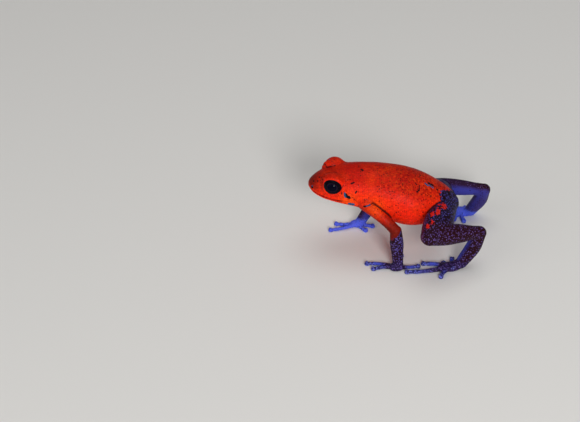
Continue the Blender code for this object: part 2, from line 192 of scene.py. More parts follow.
# Limb thicknesses: share of the way along, radius across, radius in depth
THIGH = [(0.0, 1.3, 1.5), (0.25, 1.7, 1.8), (0.5, 2.05, 2.0), (0.75, 1.85, 1.75), (1.0, 1.35, 1.3)]
SHANK = [(0.0, 1.12, 1.28), (0.3, 1.22, 1.52), (0.6, 1.1, 1.34), (0.88, 0.9, 1.0), (1.0, 0.9, 0.95)]
TARSUS = [(0.0, 0.92, 0.96), (0.45, 1.0, 1.1), (1.0, 0.9, 0.88)]
UPPER_ARM = [(0.0, 1.05, 1.1), (0.35, 0.93, 0.94), (0.7, 0.79, 0.79), (1.0, 0.8, 0.8)]
FOREARM = [(0.0, 0.84, 0.84), (0.35, 0.95, 0.98), (0.75, 0.78, 0.82), (1.0, 0.74, 0.76)]
DIGIT = [
    (0.0, 0.5, 0.36),
    (0.15, 0.4, 0.31),
    (0.3, 0.3, 0.27),
    (0.42, 0.28, 0.27),
    (0.55, 0.24, 0.24),
    (0.7, 0.24, 0.24),
    (0.8, 0.28, 0.27),
    (0.88, 0.22, 0.22),
    (1.0, 0.26, 0.24),
]
INSTEP = [(0.0, 0.84, 0.7), (1.0, 0.8, 0.42)]
FOREARM_OVERLAP = Vector((0.0, 0.0, -0.4))
TOE_THICKNESS = 1.18
SHANK_LEAN = 0.67
SHANK_BOW = (0.0, 0.0, 0.14)
TARSUS_BOW = (0.0, 0.3, 0.0)
ARM_BOW = (0.0, 0.1, 0.1)
DIGIT_HEIGHT = 0.26
DIGIT_START = 0.3
PAD_RADII = (0.36, 0.42, 0.27)
PAD_HEIGHT = 0.8 * PAD_RADII[2]
SCUTE_RADII = (0.16, 0.24, 0.13)
SCUTE_APART = 0.18
SCUTE_AHEAD = 0.08
SCUTE_RISE = 0.85 * PAD_RADII[2]
PALM_RADII = (0.78, 1.15, 0.54)
SOLE_RADII = (0.95, 1.8, 0.62)
HEEL_BUMP = {"left": (7.0, 7.95, 0.78), "right": (-8.9, 10.2, 0.78)}
HEEL_BUMP_RADII = (0.2, 0.26, 0.2)

# Markings, each as half its width and its places along it, on the level body. Those that stand far
# enough from the middle line are met again on the right side, a little further back.
DARK_MARKS = [
    (0.17, [(0.90, 7.15, 4.03), (1.02, 7.32, 3.98)]),
    (0.11, [(2.76, 5.96, 2.66), (2.71, 6.31, 2.81)]),
    (0.10, [(3.50, 6.78, 1.63), (3.41, 6.87, 1.87)]),
    (0.19, [(3.49, 5.45, 1.10), (3.55, 5.63, 0.80), (3.62, 6.05, 0.76)]),
    (0.08, [(3.30, 5.50, 1.60)]),
    (0.11, [(4.42, 8.25, 0.14), (4.40, 8.50, 0.20)]),
    # The nostril: a black dot of painted shade in its opening
    (0.15, [(1.43, 0.64, 0.12)]),
    (0.12, [(0.87, 1.44, 1.62)]),
    (0.12, [(1.36, 1.29, 1.29)]),
    (0.11, [(1.04, 0.69, 0.91), (0.96, 0.66, 0.95)]),
    (0.2, [(3.52, 5.62, 0.95), (3.60, 5.95, 0.85)]),
    (0.13, [(-0.20, 15.83, 4.01)]),
    (0.11, [(1.85, 15.12, 3.88), (2.02, 15.32, 3.78)]),
    (0.08, [(2.03, 15.72, 3.66), (2.70, 15.76, 3.33)]),
    (0.09, [(2.70, 15.76, 3.33), (3.08, 15.46, 3.20)]),
    (0.22, [(0.85, 17.12, 3.52), (0.93, 17.72, 3.30)]),
    (0.18, [(1.29, 18.45, 2.94)]),
    (0.13, [(2.74, 17.60, 2.62)]),
    (0.10, [(4.33, 16.79, 0.73)]),
    (0.10, [(4.69, 13.04, 0.19)]),
    (0.08, [(1.33, 10.82, 4.17)]),
    (0.13, [(1.75, 18.80, 2.60), (2.00, 19.00, 2.45)]),
]
BLUE_MARKS = [
    (0.13, [(1.46, 0.60, 0.40)]),
    (0.11, [(3.40, 5.24, 1.25), (3.50, 5.30, 0.98), (3.55, 5.48, 0.70)]),
    (0.2, [(3.76, 6.15, -0.22), (3.81, 6.80, -0.20)]),
    (0.12, [(4.40, 8.65, 0.26), (4.30, 9.05, 0.45)]),
    (0.10, [(-2.04, 2.57, 3.07)]),
    (0.13, [(1.20, 16.62, 3.68), (1.42, 17.05, 3.50)]),
    (0.14, [(1.22, 17.30, 3.45), (1.34, 17.84, 3.20)]),
]
MIRRORED_BEYOND = 1.6
RIGHT_SIDE_LAG = 0.35

# Folds of skin, on the level body: depth, half width and the places along each
FOLDS = [
    (0.14, 0.14, [(2.33, 1.77, 1.32), (2.09, 1.79, 2.03), (1.62, 2.02, 2.40)]),
    (0.09, 0.14, [(1.62, 2.02, 2.40), (0.95, 2.30, 2.40), (0.90, 2.75, 2.64), (1.00, 3.40, 2.88)]),
    (0.04, 0.12, [(3.50, 6.10, 1.10), (3.85, 6.90, 0.60), (4.15, 7.70, 0.15)]),
    (0.05, 0.10, [(3.61, 2.90, 0.90), (3.75, 3.65, 0.80), (3.58, 4.34, 0.99)]),
    (0.15, 0.12, [(4.38, 8.30, 0.13), (4.30, 8.97, 0.43), (4.11, 9.50, 0.80), (4.20, 9.95, 0.62)]),
]

# Red spots on the left thigh, x to the left, y back, z up
THIGH_SPOTS = [
    (0.24, [(3.70, 5.70, 9.6), (3.95, 6.10, 9.7)]),
    (0.34, [(3.70, 6.40, 9.6), (5.00, 6.50, 9.9)]),
    (0.21, [(5.10, 5.70, 9.9), (6.60, 5.65, 9.9)]),
    (0.28, [(5.85, 5.00, 9.7), (6.65, 4.78, 9.7)]),
    (0.23, [(7.95, 4.85, 9.6), (8.55, 4.80, 9.5)]),
    (0.24, [(8.50, 4.25, 9.3), (9.15, 4.30, 9.2)]),
]

# Paint of the speckled skin in each zone of the legs
ZONES = ("thigh", "shank", "tarsus", "forearm", "sole")
ZONE_PAINT = {
    "cover": (0.35, 0.31, 0.32, 0.38, 0.36),
    "maroon": (0.35, 1.0, 0.9, 0.7, 0.5),
    "bluer": (0.7, 0.1, 0.25, 0.45, 0.2),
    "plain": (0.0, 0.0, 0.0, 0.0, 0.15),
}
ZONE_BLEND = 0.3
PAINTED = ("legs", *ZONE_PAINT, "pale_and_highlight", "pink", "deep", "orange", "dorsal", "rump", "hollow")
PAINTED += ("dark_marks", "blue_marks", "red_spots")

# The outer digits, from this place on, stay mottled. Hands and feet are told from the limbs by height.
FIRST_MOTTLED = 3
DIGIT_REACH = 0.5
FOOT_TOP = 1.3
HAND_TOP = 1.6

VOXEL = 0.095

# Granules of the finish: their spacing, how far their outlines stray, and the step to the second flecks
GRANULE = 0.3
WANDER = 0.09
FLECK_SHIFT = 7.35

# Camera and frame
FRAME_WIDTH = 580
FRAME_HEIGHT = 422
LENS = 100.0
SENSOR = 36.0
CAMERA_RISE = math.radians(34)
CAMERA_DISTANCE = 0.237
AIM_HEIGHT = 6.5
AIM_PIXEL = (398, 208)


def smooth_samples(stations, count):
    """Even samples of a smooth curve through the stations, which are rows of numbers."""
    rows = np.array(stations, float)
    steps = np.linalg.norm(np.diff(rows[:, :3], axis=0), axis=1)
    knots = np.concatenate([[0.0], np.cumsum(steps)])
    slopes = np.gradient(rows, knots, axis=0)
    at = np.linspace(0.0, knots[-1], count)
    low = np.clip(np.searchsorted(knots, at, side="right") - 1, 0, len(steps) - 1)
    span = steps[low][:, None]
    t = ((at - knots[low]) / steps[low])[:, None]
    start = rows[low] * (2 * t**3 - 3 * t**2 + 1) + slopes[low] * span * (t**3 - 2 * t**2 + t)
    end = rows[low + 1] * (3 * t**2 - 2 * t**3) + slopes[low + 1] * span * (t**3 - t**2)
    return start + end


def smoothstep(low, high, value):
    """Rises smoothly from 0 at low to 1 at high."""
    t = np.clip((np.asarray(value, float) - low) / (high - low), 0.0, 1.0)
    return t * t * (3 - 2 * t)


def ridge(distance, width):
    """A rounded ridge of height 1 about a line, which dies out over its width."""
    return np.exp(-((distance / width) ** 2))


def raised(form, distance):
    """The height of one small form at each distance from its middle line."""
    rise, place, width = form
    return rise * ridge(distance - place, width)


def mesh_of(bm, name):
    """Turns working geometry into a mesh."""
    mesh = bpy.data.meshes.new(name)
    bm.to_mesh(mesh)
    bm.free()
    return mesh


def read(items, name, width, kind=float):
    """One property of all the points, edges or normals, as rows of numbers."""
    values = np.empty(len(items) * width, kind)
    items.foreach_get(name, values)
    return values.reshape(-1, width)


def store(mesh, name, values):
    """Keeps a number for each point of a mesh, which its finish reads."""
    mesh.attributes.new(name, "FLOAT", "POINT").data.foreach_set("value", np.array(values, np.float32))


def show(obj):
    """Puts an object into the scene."""
    bpy.context.scene.collection.objects.link(obj)
    return obj


def body_place(across, back, height):
    """A point of the level body, brought to its place on the standing frog."""
    return SNOUT_TIP + Vector(
        (
            across,
            back * math.cos(PITCH) + height * math.sin(PITCH),
            height * math.cos(PITCH) - back * math.sin(PITCH),
        )
    )


def body_terms(points):
    """Each point as (across, back, height) of the level body."""
    offset = points - np.array(SNOUT_TIP)
    back = offset[:, 1] * math.cos(PITCH) - offset[:, 2] * math.sin(PITCH)
    height = offset[:, 1] * math.sin(PITCH) + offset[:, 2] * math.cos(PITCH)
    return offset[:, 0], back, height


def section_point(section, angle):
    """Point of a body section at an angle from its left side, as (across, back, height)."""
    back, half_width, top, bottom, waist, square = section
    reach = top - waist if math.sin(angle) >= 0 else waist - bottom
    across = math.copysign(abs(math.cos(angle)) ** (2 / square), math.cos(angle))
    rise = math.copysign(abs(math.sin(angle)) ** (2 / square), math.sin(angle))
    return half_width * across, back, waist + reach * rise


SECTIONS = smooth_samples(BODY, 400)


def side_of_body(back, height):
    """How far the body reaches to its side, at a distance back and a height."""
    _, half_width, top, bottom, waist, square = SECTIONS[np.argmin(abs(SECTIONS[:, 0] - back))]
    reach = top - waist if height >= waist else bottom - waist
    return half_width * max(0.0, 1 - abs((height - waist) / reach) ** square) ** (1 / square)


def off_body(points):
    """Roughly how far each point stands outside the plain body, in millimetres."""
    across, back, height = body_terms(points)
    rows = [np.interp(back, SECTIONS[:, 0], SECTIONS[:, k]) for k in range(1, 6)]
    half_width, top, bottom, waist, square = rows
    reach = np.where(height >= waist, top - waist, waist - bottom)
    sideways = abs(across) / half_width
    upward = abs(height - waist) / reach
    share = (sideways**square + upward**square) ** (1 / square)
    return (share - 1) * np.minimum(half_width, reach)


def loft(bm, rings, first_tip, last_tip):
    """Adds a closed surface through rings of points, each end drawn to a tip."""
    loops = [[bm.verts.new(p) for p in ring] for ring in rings]
    sides = len(loops[0])
    for near, far in zip(loops, loops[1:]):
        for i in range(sides):
            j = (i + 1) % sides
            bm.faces.new((near[i], near[j], far[j], far[i]))
    for loop, tip in ((loops[0], first_tip), (loops[-1], last_tip)):
        point = bm.verts.new(tip)
        for i in range(sides):
            bm.faces.new((point, loop[i], loop[(i + 1) % sides]))


def add_body(bm):
    """The whole body from snout to vent."""
    sections = smooth_samples(BODY, BODY_RINGS)
    angles = [2 * math.pi * i / BODY_SIDES for i in range(BODY_SIDES)]
    rings = [[body_place(*section_point(s, a)) for a in angles] for s in sections[1:-1]]
    tips = [body_place(0, s[0], s[4]) for s in (sections[0], sections[-1])]
    loft(bm, rings, tips[0], tips[1])


def add_ellipsoid(bm, centre, radii, turn=Matrix.Identity(4)):
    """A closed ellipsoid, turned about its centre."""
    ball = bmesh.new()
    bmesh.ops.create_uvsphere(ball, u_segments=40, v_segments=24, radius=1.0)
    ball.transform(Matrix.Translation(centre) @ turn @ Matrix.Diagonal((*radii, 1.0)))
    mesh = mesh_of(ball, "ball")
    bm.from_mesh(mesh)
    bpy.data.meshes.remove(mesh)


class Limb:
    """A tapered round-ended length between two joints. Radii in depth run along the level direction."""

    def __init__(self, start, end, profile, level=(0, 0, 1), bow=(0, 0, 0)):
        self.start = Vector(start)
        self.end = Vector(end)
        self.profile = profile
        self.bow = Vector(bow)
        self.axis = (self.end - self.start).normalized()
        self.up = (Vector(level) - self.axis * self.axis.dot(Vector(level))).normalized()
        self.side = self.up.cross(self.axis)

    def add_to(self, bm, sides=40, rings=48):
        stations = []
        for share, across, depth in self.profile:
            centre = self.start.lerp(self.end, share) + self.bow * math.sin(math.pi * share)
            stations.append((*centre, across, depth))
        samples = smooth_samples(stations, rings)
        turns = [2 * math.pi * i / sides for i in range(sides)]
        loops = []
        rounding = [math.radians(d) for d in (15, 30, 45, 60, 75)]
        ends = [(samples[0], -1, lean) for lean in reversed(rounding)]
        middle = [(row, 1, 0.0) for row in samples]
        ends_and_middle = ends + middle + [(samples[-1], 1, lean) for lean in rounding]
        for (x, y, z, across, depth), way, lean in ends_and_middle:
            centre = Vector((x, y, z)) + self.axis * way * across * math.sin(lean)
            wide = self.side * across * math.cos(lean)
            deep = self.up * depth * math.cos(lean)
            loops.append([centre + wide * math.cos(a) + deep * math.sin(a) for a in turns])
        first, last = samples[0], samples[-1]
        first_tip = Vector(first[:3]) - self.axis * first[3]
        last_tip = Vector(last[:3]) + self.axis * last[3]
        loft(bm, loops, first_tip, last_tip)

    def around(self, points):
        """For each point: the share of the way along, and roughly how far it stands off the surface."""
        vectors = (self.start, self.end - self.start, self.axis, self.side, self.up, self.bow)
        start, run, axis, side, up, bow = (np.array(vector) for vector in vectors)
        share = np.clip((points - start) @ axis / (self.end - self.start).length, 0.0, 1.0)
        centre = start + share[:, None] * run + bow * np.sin(math.pi * share)[:, None]
        offset = points - centre
        shares, across, depth = np.array(self.profile).T
        wide = np.interp(share, shares, across)
        deep = np.interp(share, shares, depth)
        parts = (offset @ side / wide, offset @ up / deep, offset @ axis / wide)
        size = np.sqrt(sum(part**2 for part in parts))
        return share, (size - 1) * (wide + deep) / 2


def joints_of(side):
    """The joints of one side, by name."""
    return {name: Vector(place) for name, place in JOINTS[side].items()}


def limbs_of(side):
    """Every limb length of one side, by name."""
    joint = joints_of(side)
    inward = math.copysign(SHANK_LEAN, -joint["knee"].x)
    return {
        "upper_arm": Limb(joint["shoulder"], joint["elbow"], UPPER_ARM, bow=ARM_BOW),
        "forearm": Limb(joint["elbow"], joint["wrist"] + FOREARM_OVERLAP, FOREARM, level=(0, 1, 0)),
        "thigh": Limb(joint["hip"], joint["knee"], THIGH),
        "shank": Limb(joint["knee"], joint["heel"], SHANK, level=(inward, 0, 1), bow=SHANK_BOW),
        "tarsus": Limb(joint["heel"], joint["ankle"], TARSUS, level=(0, 1, 0), bow=TARSUS_BOW),
        "instep": Limb(joint["ankle"], joint["sole"], INSTEP),
    }


def add_digits(bm, root, tips, thickness=1.0):
    """Fingers or toes of one hand or foot: a knobbly tube, a round pad and the two scutes on its top."""
    profile = [(share, across * thickness, depth * thickness) for share, across, depth in DIGIT]
    for (x, y), bow in tips:
        end = Vector((x, y, DIGIT_HEIGHT))
        along = (end - root).normalized()
        side = along.cross(Vector((0, 0, 1))).normalized()
        Limb(root + along * DIGIT_START, end, profile, bow=side * bow).add_to(bm, sides=24)
        turn = Matrix.Rotation(math.atan2(-along.x, along.y), 4, "Z")
        pad = Vector((x, y, PAD_HEIGHT))
        add_ellipsoid(bm, pad, PAD_RADII, turn)
        for way in (-1, 1):
            scute = pad + side * way * SCUTE_APART + along * SCUTE_AHEAD + Vector((0, 0, SCUTE_RISE))
            add_ellipsoid(bm, scute, SCUTE_RADII, turn)


def raw_form():
    """All the forms of the frog as closed surfaces that run into one another."""
    bm = bmesh.new()
    add_body(bm)
    for sign in (1, -1):
        for (across, back, height), radii in LID_BULGE:
            add_ellipsoid(bm, body_place(sign * across, back, height), radii, EYE_TILT)
    for side in JOINTS:
        joint = joints_of(side)
        for limb in limbs_of(side).values():
            limb.add_to(bm)
        add_ellipsoid(bm, joint["palm"], PALM_RADII)
        turn = joint["sole"] - joint["ankle"]
        lean = Matrix.Rotation(math.atan2(-turn.x, turn.y), 4, "Z")
        add_ellipsoid(bm, joint["sole"], SOLE_RADII, lean)
        add_ellipsoid(bm, HEEL_BUMP[side], HEEL_BUMP_RADII)
        add_digits(bm, joint["palm"], FINGERS[side])
        add_digits(bm, joint["sole"], TOES[side], TOE_THICKNESS)
    bmesh.ops.recalc_face_normals(bm, faces=bm.faces)
    return bm


def remeshed(bm, voxel):
    """One closed surface round everything in the mesh, from even little squares."""
    mesh = mesh_of(bm, "form")
    form = show(bpy.data.objects.new("form", mesh))
    modifier = form.modifiers.new("one_surface", "REMESH")
    modifier.mode = "VOXEL"
    modifier.voxel_size = voxel
    bpy.context.view_layer.update()
    graph = bpy.context.evaluated_depsgraph_get()
    result = bmesh.new()
    result.from_mesh(form.evaluated_get(graph).to_mesh())
    bpy.data.objects.remove(form)
    bpy.data.meshes.remove(mesh)
    return result


def keep_largest(bm):
    """Drops all but the largest closed surface."""
    left = set(bm.verts)
    islands = []
    while left:
        seed = left.pop()
        island = {seed}
        front = [seed]
        while front:
            for edge in front.pop().link_edges:
                for vertex in edge.verts:
                    if vertex not in island:
                        island.add(vertex)
                        front.append(vertex)
        left -= island
        islands.append(island)
    islands.sort(key=len)
    for island in islands[:-1]:
        bmesh.ops.delete(bm, geom=list(island), context="VERTS")


def refine_head(bm):
    """Halves the squares over the head, where the lids and the lips need them."""
    def on_head(vertex):
        offset = vertex.co - SNOUT_TIP
        back = offset.y * math.cos(PITCH) - offset.z * math.sin(PITCH)
        return back < HEAD_END and vertex.co.z > HEAD_FLOOR

    edges = [e for e in bm.edges if on_head(e.verts[0]) and on_head(e.verts[1])]
    bmesh.ops.subdivide_edges(bm, edges=edges, cuts=1, use_grid_fill=True)


class Surface:
    """The skin's points as arrays, with the smoothing and sculpting that moves them."""

    def __init__(self, mesh):
        self.mesh = mesh
        self.points = read(mesh.vertices, "co", 3)
        self.edges = read(mesh.edges, "vertices", 2, int)
        self.links = np.bincount(self.edges.ravel(), minlength=len(self.points))

    def write_points(self):
        self.mesh.vertices.foreach_set("co", self.points.ravel())
        self.mesh.update()

    def normals(self):
        self.write_points()
        return read(self.mesh.vertex_normals, "vector", 3, np.float32).astype(float)

    def mean_of_neighbours(self, values):
        first, second = self.edges.T
        count = len(self.points)
        columns = []
        for column in values.reshape(count, -1).T:
            total = np.bincount(first, column[second], count) + np.bincount(second, column[first], count)
            columns.append(total / self.links)
        return np.stack(columns, axis=1).reshape(values.shape)

    def relax(self, rounds, weight=1.0):
        """Evens out the surface, with a step back each round so that it doesn't shrink."""
        weight = np.broadcast_to(weight, len(self.points))[:, None]
        for _ in range(rounds):
            for step in (0.5, -0.53):
                self.points += weight * step * (self.mean_of_neighbours(self.points) - self.points)

    def fill_creases(self, rounds, weight):
        """Rounds out hollow corners only, so that limbs grow out of the body in soft skin."""
        for _ in range(rounds):
            normals = self.normals()
            lift = ((self.mean_of_neighbours(self.points) - self.points) * normals).sum(axis=1)
            self.points += (weight * 0.9 * np.maximum(lift, 0.0))[:, None] * normals

    def push(self, amount):
        """Moves each point along its normal."""
        self.points += self.normals() * amount[:, None]

    def near(self, place):
        return np.linalg.norm(self.points - np.array(place), axis=1)


def crease_softness(skin):
    """How far each hollow corner is rounded out: most at the joints, little where skin only touches skin."""
    softness = np.full(len(skin.points), 0.04)
    for joint in JOINTS.values():
        before_shoulder = Vector(joint["shoulder"]) + Vector((0.0, -1.3, -0.2))
        above_hip = Vector(joint["hip"]) + Vector((math.copysign(1.2, joint["hip"][0]), 1.2, 1.8))

        # Each place, how far round it the softness reaches, and how strong it is
        zones = [
            (before_shoulder, 2.2, 0.9),
            (above_hip, 3.0, 0.9),
            (joint["elbow"], 1.4, 0.3),
            (joint["wrist"], 1.6, 0.8),
            (joint["palm"], 1.8, 0.6),
            (joint["heel"], 1.6, 0.5),
            (joint["ankle"], 1.8, 0.8),
            (joint["sole"], 2.4, 0.6),
        ]
        for place, reach, strength in zones:
            fade = 1 - smoothstep(0.4 * reach, reach, skin.near(place))
            softness = np.maximum(softness, strength * fade)
    for sign in (1, -1):
        fade = 1 - smoothstep(1.8, 3.4, skin.near(body_place(sign * 1.9, 3.8, 1.7)))
        softness = np.maximum(softness, 0.9 * fade)
    return softness


def eye_axes(sign):
    """Where one eyeball sits, and its directions: out of the head, back along the lids, and up."""
    across, back, height = EYE_CENTRE
    centre = body_place(sign * (across + EYE_REACH - BALL_RADIUS), back, height)
    level = math.cos(EYE_UP)
    out = Vector((sign * level * math.cos(EYE_FORWARD), -level * math.sin(EYE_FORWARD), math.sin(EYE_UP)))
    along = Vector((0, math.cos(EYE_SLOPE), -math.sin(EYE_SLOPE)))
    along = (along - out * along.dot(out)).normalized()
    up = out.cross(along) * sign
    return centre, out, along, up


def sculpt_lids(skin):
    """Wraps the skin round each eyeball, leaves it bare at the opening, and folds the lower lid."""
    for sign in (1, -1):
        centre, out, along, up = eye_axes(sign)
        offset = skin.points - np.array(centre)
        radius = np.linalg.norm(offset, axis=1)
        way = offset / radius[:, None]
        outward = way @ np.array(out)
        rearward = way @ np.array(along) * BALL_RADIUS / OPENING[0]
        upward = way @ np.array(up) * BALL_RADIUS
        upward = np.where(upward > 0, upward / OPENING[1], upward / OPENING[2])
        spread = np.hypot(rearward, upward)

        # How far beyond the lid's edge each point lies, below 0 over the bare eye
        outside = np.where(outward > 0.05, (spread - 1) * 1.1, 1.5)
        lid = BALL_RADIUS + LID_THICKNESS * smoothstep(-0.1, 0.06, outside)
        lid -= OPENING_DEPTH * (1 - smoothstep(-0.16, -0.02, outside))
        lid += raised(LID_RIM, outside)

        # Folds run below the eye, ahead of it and above it, and the skin lies close to the ball near them
        below = smoothstep(-0.1, 0.6, 0.25 * rearward - upward)
        ahead = smoothstep(0.55, 1.0, 0.3 * upward - rearward)
        above = smoothstep(0.3, 0.9, upward - 0.9 * rearward)
        folds = raised(LOWER_FOLD, outside) * below + raised(FRONT_FOLD, outside) * ahead
        folds += raised(BROW_FOLD, outside) * above * (1 - ahead)
        reach = BALL_RADIUS + LID_REACH
        close = (radius < reach) & (outward > -0.3)
        blend = 0.16 - 0.1 * below
        wrapped = lid + blend * np.logaddexp(0.0, (radius - lid) / blend)
        held = 1 - smoothstep(0.0, 0.22, outside)
        wrapped = np.where(outside < 0.02, lid, wrapped + (lid - wrapped) * held)
        fade = smoothstep(reach, BALL_RADIUS + LID_REACH / 2, radius) * smoothstep(-0.3, 0.1, outward)
        wrapped = radius + (wrapped - folds - radius) * fade
        skin.points = np.where(close[:, None], np.array(centre) + way * wrapped[:, None], skin.points)


def lip_height(back):
    """Height of the lip line: level along the snout, then rising a little to the mouth's corner."""
    return LIP_HEIGHT + LIP_RISE * np.clip((back - LIP_RISE_START) / LIP_RISE_LENGTH, 0.0, 1.0)


def along_mouth(back):
    """1 along the mouth, dying out at its corner."""
    return smoothstep(MOUTH_CORNER + 0.1, MOUTH_CORNER - 0.5, back)


def folds_in_place():
    """Each fold of skin on both sides: its depth, its half width and its path."""
    return [
        (depth, half_width, [body_place(sign * a, b, h) for a, b, h in path])
        for depth, half_width, path in FOLDS
        for sign in (1, -1)
    ]


def sculpt_face(skin):
    """Mouth line, lips, folds, nostrils and the ear drums."""
    _, back, height = body_terms(skin.points)
    from_lip = height - lip_height(back)
    amount = sum(raised(form, from_lip) for form in LIPS) * along_mouth(back)
    for depth, half_width, path in folds_in_place():
        amount -= depth * ridge(from_path(skin, path), half_width)
    for place, forms in ((NOSTRIL, NOSTRIL_FORMS), (EAR_DRUM, DRUM_FORMS)):
        for sign in (1, -1):
            distance = skin.near(body_place(sign * side_of_body(*place), *place))
            amount += sum(raised(form, distance) for form in forms)
    skin.push(amount)


def fold_at_arms(skin):
    """Deepens the line where each upper arm lies against the flank."""
    off_trunk = off_body(skin.points)
    for side in JOINTS:
        share, off_arm = limbs_of(side)["upper_arm"].around(skin.points)
        own = skin.points[:, 0] * JOINTS[side]["elbow"][0] > 0
        along = smoothstep(0.1, 0.3, share) * smoothstep(0.8, 0.6, share)
        touching = smoothstep(0.6, 0.3, np.abs(off_trunk) + np.abs(off_arm))
        skin.push(raised(ARM_FOLD, off_trunk - off_arm) * along * touching * own)


def hollows(skin):
    """How sharply the skin turns inwards, 1 in a tight fold and 0 where it is flat or swells."""
    normals = skin.normals()
    lift = ((skin.mean_of_neighbours(skin.points) - skin.points) * normals).sum(axis=1)
    first, second = skin.edges.T
    lengths = np.linalg.norm(skin.points[first] - skin.points[second], axis=1)
    count = len(skin.points)
    step = (np.bincount(first, lengths, count) + np.bincount(second, lengths, count)) / skin.links
    turning = 2 * lift / step**2
    for _ in range(4):
        turning = skin.mean_of_neighbours(turning)
    return smoothstep(0.25, 2.5, turning)


def grain(points, size, seed):
    """Rounded granules of about one size, from 0 in the furrows to 1 on top."""
    heights = []
    for place in points / size + seed:
        near, far = noise.voronoi(Vector(place))[0][:2]
        heights.append(far - near)
    return np.clip(np.array(heights) * 1.6, 0.0, 1.0)


def sculpt_granules(skin):
    """Fine granules all over, and coarser ones from the chest back, highest underneath."""
    _, back, _ = body_terms(skin.points)
    under = smoothstep(0.2, -0.8, skin.normals()[:, 2])
    trunk = smoothstep(6.0, 9.0, back)
    coarse, fine = (
        height * grain(skin.points, size, seed)
        for (size, height), seed in ((COARSE_GRANULES, 3.1), (FINE_GRANULES, 7.7))
    )
    skin.push(coarse * (0.35 + 0.65 * under) * trunk + fine)


def from_path(skin, path):
    """Distance of each skin point from a bent line, after its places are brought to the skin."""
    places = [skin.points[np.argmin(skin.near(place))] for place in path]
    nearest = skin.near(places[0])
    for start, end in zip(places, places[1:]):
        run = end - start
        share = np.clip((skin.points - start) @ run / max(run @ run, 1e-6), 0.0, 1.0)
        gap = skin.points - start - share[:, None] * run
        nearest = np.minimum(nearest, np.linalg.norm(gap, axis=1))
    return nearest


def blots(skin, marks):
    """A field that is 0.5 on the edge of each mark and 1 along its middle line."""
    field = np.zeros(len(skin.points))
    for half_width, path in marks:
        field = np.maximum(field, 1.0 - from_path(skin, path) / (2 * half_width))
    return field


def on_both_sides(marks):
    """The marks brought to their places, and again on the right side where they stand far out."""
    both = []
    for half_width, path in marks:
        both.append((half_width, [body_place(*place) for place in path]))
        if path[0][0] > MIRRORED_BEYOND:
            both.append((half_width, [body_place(-a, b + RIGHT_SIDE_LAG, h) for a, b, h in path]))
    return both


def hip_net(across, back):
    """Where the dark netting of the legs creeps up over the rump: above 0 inside it."""
    edge = 19.0 + 1.5 * (1 - smoothstep(-0.3, 1.2, across)) + 1.2 * (1 - smoothstep(-1.6, -0.4, across))
    return 0.9 * np.clip((back - edge) / 0.9, -1, 1)


def on_digits(points, side):
    """Share of the way along the nearest finger or toe of one side, 0 away from them, and where the
    outermost ones lie."""
    field = np.zeros((2, len(points)))
    low = points[:, 2] < FOOT_TOP
    near_floor = points[low]
    best = np.full(low.sum(), DIGIT_REACH)
    values = np.zeros((2, low.sum()))
    for root_name, tips in (("palm", FINGERS[side]), ("sole", TOES[side])):
        for rank, ((x, y), _) in enumerate(tips):
            digit = Limb(JOINTS[side][root_name], (x, y, DIGIT_HEIGHT), DIGIT)
            share, off = digit.around(near_floor)
            outer = np.full(len(share), float(rank >= FIRST_MOTTLED))
            values = np.where(off < best, [share, outer], values)
            best = np.minimum(best, off)
    field[:, low] = values
    return field


def grow(paint, name, values):
    """Raises one kind of paint to these values, where they are larger."""
    paint[name] = np.maximum(paint[name], values)


def leg_paint(points, normals, side, sign, off, knee_share, low):
    """The five shares that colour the speckled skin of one side's legs, hands and feet."""
    # Each zone's own paint, blended where two zones meet
    gaps = np.array([off[name] for name in ZONES[:-1]])
    gaps[0] += 0.7 * smoothstep(0.6, 0.95, knee_share)
    shares = np.exp((gaps.min(axis=0) - gaps) / ZONE_BLEND)
    shares = np.vstack([shares / shares.sum(axis=0) * (1 - low), low])
    paint = {name: np.tensordot(values, shares, 1) for name, values in ZONE_PAINT.items()}

    # Plain violet-blue on the inner sides, down the front of the tarsus and out along the digits
    forward = -normals[:, 1]
    upward = normals[:, 2]
    inward = smoothstep(-0.1, 0.85, -0.85 * sign * normals[:, 0] - 0.5 * upward) * (1 - low)
    strip = smoothstep(0.35, 0.8, forward - 0.3 * upward) * shares[ZONES.index("tarsus")]
    digit, mottled = on_digits(points, side)
    bare = smoothstep(0.32, 0.6, digit)
    pad = smoothstep(0.7, 0.85, digit)
    paint["plain"] = np.maximum.reduce([paint["plain"], 0.95 * inward, 0.9 * strip])
    grow(paint, "bluer", 0.75 * inward)
    grow(paint, "plain", (0.8 - 0.6 * pad) * (1 - 0.6 * mottled) * bare)
    paint["bluer"] = np.maximum(paint["bluer"] + 0.6 * strip, (0.8 - 0.3 * mottled) * bare)
    paint["bluer"] -= 0.35 * smoothstep(0.0, 0.8, forward) * shares[ZONES.index("forearm")]

    # The pads and the small bump on the sole are the brightest: a paler blue of their own, with a painted
    # highlight on their wet tops
    from_bump = np.linalg.norm(points - np.array(HEEL_BUMP[side]), axis=1)
    paint["pale_and_highlight"] = np.maximum(0.3 * bare + 0.3 * pad, 0.4 * (1 - smoothstep(0.2, 0.4, from_bump)))

    # The right side is plainer: its hand and foot are clear blue, and its tarsus is greyer
    if sign < 0:
        paint["plain"] = np.maximum.reduce([paint["plain"], 0.9 * low, 0.15 * (1 - low)])
        paint["bluer"] = np.maximum(paint["bluer"] - 0.2, low)
        paint["cover"] = paint["cover"] - 0.06
        greyer = shares[ZONES.index("tarsus")]
        paint["plain"] -= 0.3 * greyer
        paint["bluer"] -= 0.35 * greyer
        grow(paint, "pale_and_highlight", 0.8 * low)
    return paint


